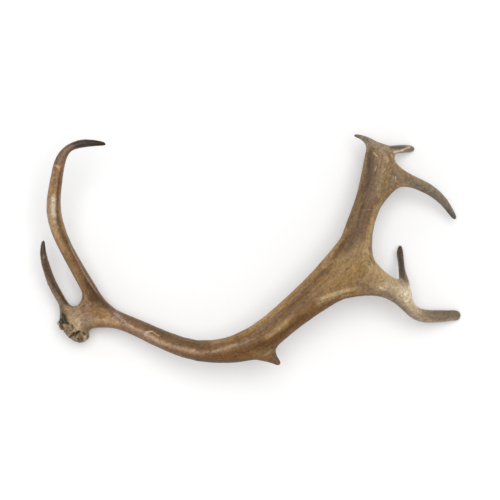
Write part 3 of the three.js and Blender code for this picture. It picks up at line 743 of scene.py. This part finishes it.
    ("#8e7058", 0.70, 3.6, [(82, 306), (84, 312), (84, 318)]),
    ("#93806e", 0.60, 3.0, [(84, 319), (88, 321), (92, 320)]),
    ("#8b6d4c", 0.75, 3.0, [(83, 329), (88, 327), (94, 326)]),
    ("#54422e", 0.92, 4.2, [(62, 314), (63.5, 318), (63.5, 322), (62, 325)]),
    ("#41372c", 0.75, 1.6, [(60, 319), (60, 323), (61.5, 327)]),
    ("#6b563f", 0.50, 1.0, [(66.5, 316.5), (67, 319)]),
    # Painted shade in the crown's pits.
    ("#3f3424", 0.60, 1.3, [(62.5, 314.5), (64.5, 315.5)]),
    ("#332a1d", 0.70, 1.7, [(64, 318), (65, 320.5)]),
    ("#2f271b", 0.80, 1.6, [(61, 319), (62, 323)]),
    ("#392f20", 0.75, 1.2, [(65.5, 321.5), (68, 323)]),
    ("#5d5147", 0.70, 1.8, [(71.5, 325), (72.3, 327)]),
    ("#cfc2aa", 0.70, 1.1, [(57.5, 321), (58, 324)]),
    ("#907a5b", 0.60, 2.8, [(63, 325), (66, 331), (71, 337)]),
    ("#a88e6d", 0.60, 1.6, [(64, 325), (67, 329), (68, 334)]),
    ("#77644a", 0.70, 2.2, [(80, 334), (80.5, 338)]),
    ("#8b7e70", 0.80, 1.4, [(87, 335), (87, 338)]),
    ("#b09a74", 0.60, 1.6, [(73, 338), (77, 337)]),
    ("#9f8465", 0.60, 2.2, [(71, 338), (75, 340)]),
    ("#c9b99c", 0.80, 1.7, [(84.3, 335.3), (84.3, 339.3)]),
    # The crown's slit, painted dark as shade, with more painted shade beneath it.
    ("#30261a", 0.85, 1.4, [(71, 335.5), (73.5, 334), (76, 332.7)]),
    ("#6a5545", 0.65, 1.9, [(75.5, 335.2), (78, 333.5)]),
    ("#ab957e", 0.80, 2.9, [(81, 322), (87, 323.5)]),
    ("#7c6750", 0.45, 2.4, [(71, 338.5), (76, 341), (81, 341)]),
    ("#b89d7c", 0.50, 2.6, [(97, 318), (104, 320)]),
    ("#b39877", 0.60, 1.6, [(68, 306), (74, 308), (80, 305.5), (83.5, 300)]),
    ("#5a4c38", 0.60, 1.6, [(80.5, 336), (81, 340)]),
]
for code, strength, radius, path in WASHES:
    share = strength * path_reach(path, radius * WASH_SPREAD) * step(-0.25, 0.2, normals[:, 2])
    share = np.clip(share * (1 + 0.30 * ragged), 0, 1)
    paint += share[:, None] * (linear(code) - paint)
# Painted shade: faces that turn downwards are made darker.
paint *= (0.80 + 0.20 * step(-0.40, 0.08, normals[:, 2]))[:, None]

# Broad casts: how much more red, green and blue, radius and path.
CASTS = [
    ((0.99, 0.94, 0.71), 22, [(240, 348), (290, 310), (330, 275)]),
    ((0.97, 0.94, 0.82), 16, [(345, 262), (366, 270)]),
    ((0.98, 0.96, 0.85), 14, [(352, 242), (362, 212)]),
    ((1.09, 1.12, 1.20), 10, [(53, 215), (57, 165)]),
    ((0.97, 0.97, 0.98), 12, [(62, 244), (88, 288)]),
    ((0.87, 0.79, 0.70), 8, [(66, 148), (84, 142), (104, 143)]),
    ((0.99, 1.06, 1.18), 8, [(410, 180), (452, 212)]),
    ((1.11, 1.19, 1.34), 8, [(358, 138), (388, 147)]),
    ((1.04, 1.04, 1.06), 16, [(76, 322), (100, 314), (150, 336)]),
    ((1.06, 1.06, 1.06), 12, [(86, 310), (118, 316)]),
    ((1.01, 0.98, 0.93), 13, [(168, 343), (215, 352)]),
    ((1.12, 1.16, 1.19), 14, [(68, 320), (78, 334)]),
    ((1.01, 1.03, 1.08), 14, [(396, 292), (412, 310), (450, 315)]),
]
for gains, radius, path in CASTS:
    paint *= 1 + path_reach(path, radius)[:, None] * (np.array(gains) - 1)

# Mottling and long streaks over the whole surface.
bent = points + 2.5 * np.stack([noise(points / 9 + k) for k in (60, 70, 80)], 1)
tone = (0.08 * streaks(1.6, 21.0) + 0.10 * streaks(4.0, 33.0)) * (1 - 0.85 * flat_part)
tone += 0.10 * noise(bent / 15 + 40) + 0.15 * noise(bent / 6 + 9)
tone += 0.29 * noise(bent / 3) + 0.28 * noise(points / 1.8)
fleck, fleck_number = cells(points / 3.4)
tone -= 0.30 * (1 - step(0.12, 0.30, fleck)) * (fleck_number > 0.72)
tone += 0.22 * (1 - step(0.10, 0.26, fleck)) * (fleck_number < 0.12)
tone *= solid
tone += crown * (0.32 * (knob_number - 0.5) + 0.34 * noise(points / 2.6) + 0.10)
# Painted shade in hollows and painted light on edges, by how hollow the surface is.
tone -= 0.10 * np.clip(wide_hollow / 0.12, -1, 2) + 0.05 * np.clip(near_hollow / 0.02, -1, 1.5)
paint *= PAINT_GAIN * np.clip(1 + tone, 0.25, 1.8)[:, None]
# Painted shade: the crown's pits and hollows are darkened towards a dark brown.
PIT_SHADE = linear("#261e14")
PIT_SHADE_STRENGTH = 0.82
pit_shade = np.clip(1.0 * pits + 0.6 * small_pits + 0.8 * crown * step(0.05, 0.5, wide_hollow), 0, 1)
paint += pit_shade[:, None] * PIT_SHADE_STRENGTH * (PIT_SHADE - paint)

# Dried grass and scratches: fine pale marks. Colour, radius, path.
MARK_STRENGTH = 0.80
MARKS = [
    ("#d3bf9c", 1.0, [(146, 331.8), (149, 331.2), (152, 330.8)]),
    ("#bfa67c", 0.8, [(153, 331.5), (156, 334), (158.5, 335.5)]),
    ("#c9a878", 0.8, [(65, 308.3), (67, 309.0), (69, 308.8)]),
    ("#cbb48d", 0.7, [(373, 152), (375, 154), (377, 156)]),
    ("#c0a984", 0.6, [(386.5, 156), (387.5, 159.5), (386.5, 162)]),
    ("#c0a984", 0.6, [(390.5, 154), (392, 156.5)]),
    ("#b59d7a", 0.6, [(375.5, 166), (374.5, 170)]),
    ("#c0a984", 0.6, [(395, 176), (395.5, 180)]),
    ("#b59d7a", 0.6, [(382, 171), (385, 168)]),
    ("#b59d7a", 0.6, [(389, 171), (391, 169)]),
    ("#9a8361", 0.5, [(361, 209.6), (366, 209.5), (370, 209.2)]),
    ("#dccba9", 1.4, [(393.5, 151.5), (398, 150.8), (402, 149.7)]),
    ("#d8c7a4", 1.0, [(402, 149.7), (406, 147.8), (409, 146.8)]),
]
for code, radius, path in MARKS:
    share = MARK_STRENGTH * path_reach(path, radius) * seen
    paint += share[:, None] * (linear(code) - paint)

# Where the surface is rubbed it shines a little; the crown is dull.
dull = np.clip(0.55 + 0.35 * crown + 0.12 * ragged - 1.5 * np.clip(-wide_hollow, 0, 0.15), 0.3, 1)

# Coordinates for the finest grain, long along each limb.
grain = np.zeros((len(points), 3))
closest = np.full(len(points), 1e9)
for number, (name, (reach, length, side, _)) in enumerate(limb_facts.items()):
    nearer = reach < closest
    closest[nearer] = reach[nearer]
    turns = side[nearer] * STREAKS[name][0]
    grain[nearer] = np.stack([length[nearer] / 9 + 50 * number, turns[:, 0], turns[:, 1]], 1)


FIELDS = {"FLOAT": "value", "FLOAT_COLOR": "color", "FLOAT_VECTOR": "vector"}


def put(name, kind, values):
    """Stores values on the skin's vertices, for the material."""
    layer = fine.attributes.new(name, kind, "POINT")
    layer.data.foreach_set(FIELDS[kind], values.astype(np.float32).ravel())


put("paint", "FLOAT_COLOR", np.concatenate([np.clip(paint, 0, 1), np.ones((len(points), 1))], 1))
put("dull", "FLOAT", dull)
put("grain", "FLOAT_VECTOR", grain)
put("skin_normal", "FLOAT_VECTOR", normals)

# == Material ==


def antler_material(name, roughness):
    """Painted bone with fine fibres, specks and pores."""
    material = bpy.data.materials.new(name)
    material.use_nodes = True
    tree = material.node_tree
    shader = tree.nodes["Principled BSDF"]

    def node(kind, **settings):
        made = tree.nodes.new(kind)
        for key, value in settings.items():
            setattr(made, key, value)
        return made

    def math_node(operation, a, b):
        made = node("ShaderNodeMath", operation=operation)
        for socket, value in zip(made.inputs, (a, b)):
            if isinstance(value, (int, float)):
                socket.default_value = value
            else:
                tree.links.new(value, socket)
        return made.outputs[0]

    def attribute(label):
        return node("ShaderNodeAttribute", attribute_name=label)

    def texture(vector, scale, detail, seed):
        made = node("ShaderNodeTexNoise", noise_dimensions="4D")
        made.inputs["W"].default_value = seed
        made.inputs["Scale"].default_value = scale
        made.inputs["Detail"].default_value = detail
        made.inputs["Roughness"].default_value = 0.6
        tree.links.new(vector, made.inputs["Vector"])
        return made.outputs["Fac"]

    place = node("ShaderNodeTexCoord").outputs["Object"]
    along = attribute("grain").outputs["Vector"]
    fibres = texture(along, 3.2, 4, 1.0)
    specks = texture(place, 520, 4, 2.0)
    clouds = texture(place, 240, 4, 3.0)
    pores = node("ShaderNodeTexVoronoi", feature="F1")
    pores.inputs["Scale"].default_value = 620
    tree.links.new(place, pores.inputs["Vector"])
    open_pores = math_node("LESS_THAN", pores.outputs["Distance"], 0.20)
    rare = math_node("GREATER_THAN", clouds, 0.56)
    open_pores = math_node("MULTIPLY", open_pores, rare)

    tone = math_node("MULTIPLY_ADD", fibres, 0.34)
    tone.node.inputs[2].default_value = 0.83
    spread = math_node("MULTIPLY_ADD", specks, 1.10)
    spread.node.inputs[2].default_value = 0.45
    cloud = math_node("MULTIPLY_ADD", clouds, 0.70)
    cloud.node.inputs[2].default_value = 0.65
    tone = math_node("MULTIPLY", math_node("MULTIPLY", tone, spread), cloud)
    tone = math_node("SUBTRACT", tone, math_node("MULTIPLY", open_pores, 0.22))
    colour = node("ShaderNodeVectorMath", operation="SCALE")
    tree.links.new(attribute("paint").outputs["Color"], colour.inputs[0])
    tree.links.new(tone, colour.inputs["Scale"])
    tree.links.new(colour.outputs[0], shader.inputs["Base Color"])

    gloss = math_node("MULTIPLY", attribute("dull").outputs["Fac"], roughness * 1.25)
    gloss = math_node("ADD", gloss, math_node("MULTIPLY", specks, 0.12))
    tree.links.new(gloss, shader.inputs["Roughness"])

    relief = math_node(
        "ADD", math_node("MULTIPLY", fibres, 0.5), math_node("MULTIPLY", specks, 0.3)
    )
    relief = math_node("SUBTRACT", relief, math_node("MULTIPLY", open_pores, 0.35))
    bump = node("ShaderNodeBump")
    bump.inputs["Strength"].default_value = 0.55
    bump.inputs["Distance"].default_value = 0.0004
    tree.links.new(relief, bump.inputs["Height"])
    tree.links.new(bump.outputs["Normal"], shader.inputs["Normal"])
    shader.inputs["IOR"].default_value = 1.45
    shader.inputs["Specular IOR Level"].default_value = 0.35
    return material


beam_material = antler_material("antler_brown", 0.60)
tine_material = antler_material("antler_dark_tine", 0.54)

# == Pieces, cut at the forks ==

# Each fork: its middle, a place before and one after it, which give the cut's direction,
# and how far the cut reaches in mm.
CUTS = [
    ((63.3, 303.2, 30), (63.3, 303.2, 30), (59.6, 297.2, 33), 12),
    ((88.5, 287.9, 46), (92, 295.2, 40), (82.7, 278, 53.5), 19),
    ((360.2, 225.2, 76), (357.3, 245, 81), (363.4, 215, 73), 28),
    ((405.2, 179.4, 57.5), (397, 176.6, 60), (414.5, 182.6, 53.5), 16),
    ((381, 283.5, 76), (371.6, 279.6, 80), (389.3, 287.7, 72.5), 25),
    ((403.9, 278.2, 52), (403.9, 278.2, 52), (401.9, 270.8, 41), 10.5),
]
PIECES = {
    "main_beam": (200, 350, 70, "beam_antler"),
    "brow_tine": (45, 267, 46, "tine_antler"),
    "bez_tine": (54, 200, 93, "beam_antler"),
    "upper_branch": (376, 180, 64, "beam_antler"),
    "curved_tine": (438, 196, 41, "tine_antler"),
    "lower_branch": (404, 300, 63, "beam_antler"),
    "inner_tine": (401, 262, 29, "tine_antler"),
}
for material in (beam_material, tine_material):
    fine.materials.append(material)
bm = bmesh.new()
bm.from_mesh(fine)
cut_edges = set()
for middle, before, after, reach in CUTS:
    centre = Vector(spot(*middle) / MM)
    direction = Vector(spot(*after) - spot(*before)).normalized()
    near = [
        face
        for face in bm.faces
        if abs((face.calc_center_median() - centre).dot(direction)) < CUT_SLAB
        and (face.calc_center_median() - centre).length < reach / MM
    ]
    geometry = set(near)
    for face in near:
        geometry.update(face.edges)
        geometry.update(face.verts)
    made = bmesh.ops.bisect_plane(
        bm, geom=list(geometry), dist=1e-7, plane_co=centre, plane_no=direction
    )
    cut = [e for e in made["geom_cut"] if isinstance(e, bmesh.types.BMEdge)]
    bmesh.ops.split_edges(bm, edges=cut)
bm.to_mesh(fine)
bm.free()
body = bpy.data.objects.new("antler", fine)
bpy.context.scene.collection.objects.link(body)
for other in bpy.context.view_layer.objects:
    other.select_set(other == body)
bpy.context.view_layer.objects.active = body
bpy.ops.mesh.separate(type="LOOSE")
loose = [o for o in bpy.context.scene.objects if o.name.startswith("antler") and o.type == "MESH"]


def close_ends(mesh):
    """Closes the cut ends and gives every corner the normal of the whole skin."""
    bm = bmesh.new()
    bm.from_mesh(mesh)
    rim = [edge for edge in bm.edges if edge.is_boundary]
    caps = bmesh.ops.holes_fill(bm, edges=rim, sides=0)["faces"]
    caps = bmesh.ops.triangulate(bm, faces=caps)["faces"] if caps else []
    bm.faces.index_update()
    flat = {face.index for face in caps}
    for face in bm.faces:
        face.smooth = True
    bm.to_mesh(mesh)
    bm.free()
    skin = np.empty(len(mesh.vertices) * 3, np.float32)
    mesh.attributes["skin_normal"].data.foreach_get("vector", skin)
    skin = skin.reshape(-1, 3)
    corners = np.empty(len(mesh.loops), int)
    mesh.loops.foreach_get("vertex_index", corners)
    corner_normals = skin[corners]
    for index in flat:
        polygon = mesh.polygons[index]
        corner_normals[polygon.loop_start:polygon.loop_start + polygon.loop_total] = polygon.normal
    corner_normals /= np.linalg.norm(corner_normals, axis=1)[:, None] + 1e-12
    mesh.normals_split_custom_set(corner_normals.tolist())
    mesh.attributes.remove(mesh.attributes["skin_normal"])


def gap_to(piece, place):
    """Distance from a place to the nearest vertex of a piece."""
    co = np.empty(len(piece.data.vertices) * 3, np.float32)
    piece.data.vertices.foreach_get("co", co)
    return np.linalg.norm(co.reshape(-1, 3) - place, axis=1).min()


for name, (column, row, high, slot_name) in PIECES.items():
    marker = spot(column, row, high) / MM
    piece = min(loose, key=lambda other: gap_to(other, marker))
    loose.remove(piece)
    piece.name = name + "_skin"
    piece.data.name = piece.name
    close_ends(piece.data)
    chosen = tine_material if slot_name == "tine_antler" else beam_material
    piece.data.materials.clear()
    piece.data.materials.append(chosen)
    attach(piece, "root")
    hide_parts(name)

# == Floor, light and camera ==

FLOOR = 12.0
floor_mesh = bpy.data.meshes.new("floor")
floor_mesh.from_pydata(
    [(-FLOOR, -FLOOR, 0), (FLOOR, -FLOOR, 0), (FLOOR, FLOOR, 0), (-FLOOR, FLOOR, 0)],
    [],
    [(0, 1, 2, 3)],
)
floor = bpy.data.objects.new("floor", floor_mesh)
bpy.context.scene.collection.objects.link(floor)
floor_material = bpy.data.materials.new("pale_floor")
floor_material.use_nodes = True
floor_shader = floor_material.node_tree.nodes["Principled BSDF"]
floor_shader.inputs["Base Color"].default_value = (0.93, 0.93, 0.93, 1)
floor_shader.inputs["Roughness"].default_value = 0.9
floor_shader.inputs["Specular IOR Level"].default_value = 0.0
floor_mesh.materials.append(floor_material)


def soft_light(name, direction, spread, strength):
    """A broad light from a direction; its spread is in degrees."""
    data = bpy.data.lights.new(name, "SUN")
    data.angle = math.radians(spread)
    data.energy = strength
    light = bpy.data.objects.new(name, data)
    light.location = direction
    light.rotation_euler = (-Vector(direction)).to_track_quat("-Z", "Y").to_euler()
    bpy.context.scene.collection.objects.link(light)


soft_light("key", (0.2, 0.5, 3.0), 50, 1.72)

scene = bpy.context.scene
world = bpy.data.worlds.new("studio")
world.use_nodes = True
world.node_tree.nodes["Background"].inputs["Color"].default_value = (1, 1, 1, 1)
world.node_tree.nodes["Background"].inputs["Strength"].default_value = 0.60
scene.world = world
scene.view_settings.view_transform = "Standard"
scene.view_settings.look = "None"

camera_data = bpy.data.cameras.new("camera")
camera_data.sensor_width = 36
FRAME_WIDTH = 500 * GRID
camera_data.lens = camera_data.sensor_width * (EYE_HEIGHT - MID_HEIGHT) / FRAME_WIDTH
camera = bpy.data.objects.new("camera", camera_data)
middle = spot(250, 250, MID_HEIGHT) / MM
camera.location = (middle[0], middle[1], (EYE_HEIGHT + SHIFT[2]) / MM)
camera_data.clip_end = 50
scene.collection.objects.link(camera)
scene.camera = camera
